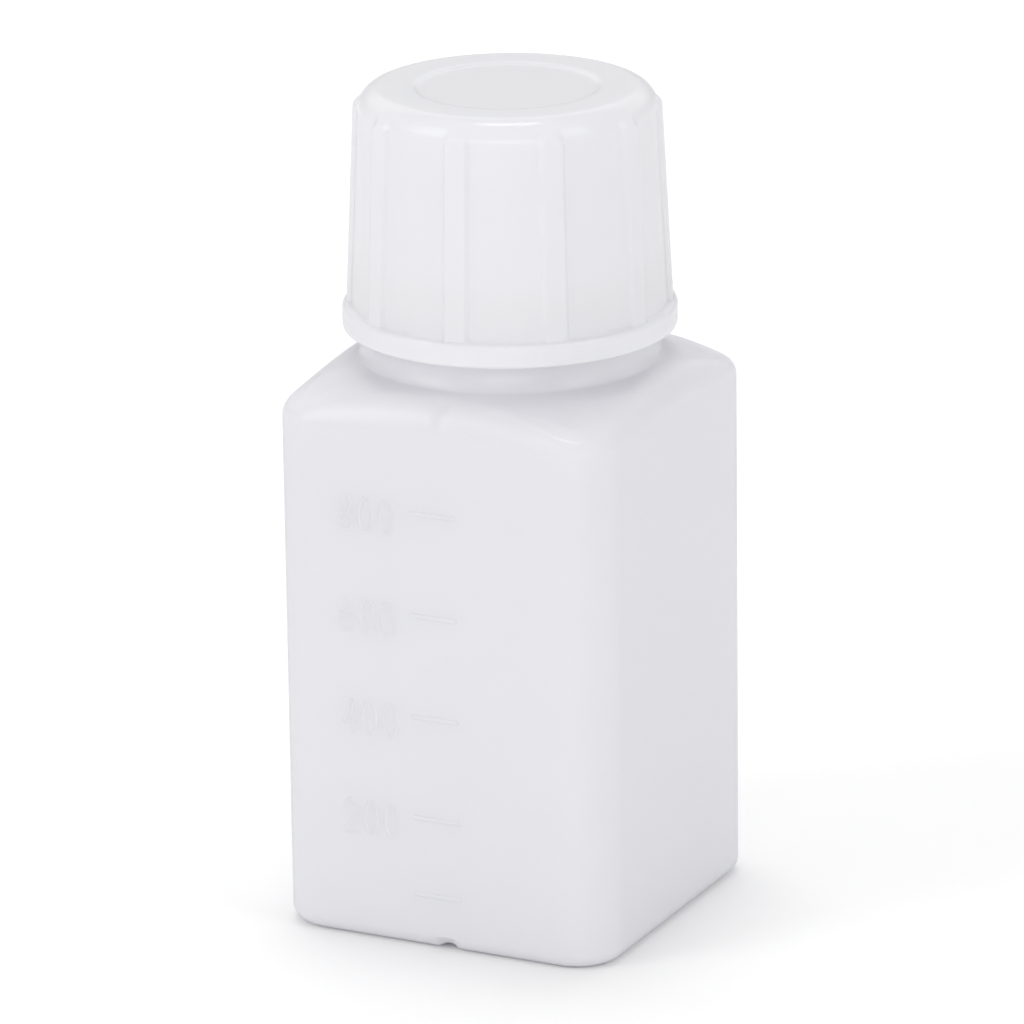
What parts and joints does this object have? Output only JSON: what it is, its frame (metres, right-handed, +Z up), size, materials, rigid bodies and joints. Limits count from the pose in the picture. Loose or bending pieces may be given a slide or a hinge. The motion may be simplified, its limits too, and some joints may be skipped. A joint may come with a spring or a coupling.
{
  "type": "square bottle",
  "caption": "Square wide-mouth plastic bottle with raised volume marks, a domed shoulder and a tall ribbed screw cap that is hollow enough to measure with.",
  "frame": {"origin": "centre of the base, on the surface that the bottle stands on", "axes": "+Z up along the neck's axis; -Y is the face with the volume marks; +X is to that face's right"},
  "size_m": [0.091, 0.0915, 0.2124],
  "materials": {
    "bottle_plastic": "satin, milky translucent natural polyethylene",
    "cap_plastic": "smooth, milky translucent natural polypropylene",
    "seal_foam": "matt, soft foamed polyethylene"
  },
  "bodies": {
    "bottle_body": {"bottle": "bottle_plastic"},
    "seal": {"seal_ring": "seal_foam"},
    "cap_body": {"cap": "cap_plastic"}
  },
  "joints": [
    {"name": "cap_lift", "type": "slide", "parent": "bottle_body", "child": "seal", "axis": [0, 0, 1], "range_m": [0, 0.00525]},
    {"name": "cap_turn", "type": "hinge", "parent": "seal", "child": "cap_body", "pos_m": [0, 0, 0.18], "axis": [0, 0, 1], "range_deg": [0, 450]}
  ],
  "couplings": [
    {"joint": "cap_lift", "follows": "cap_turn", "m_per_rad": 0.00066845}
  ]
}
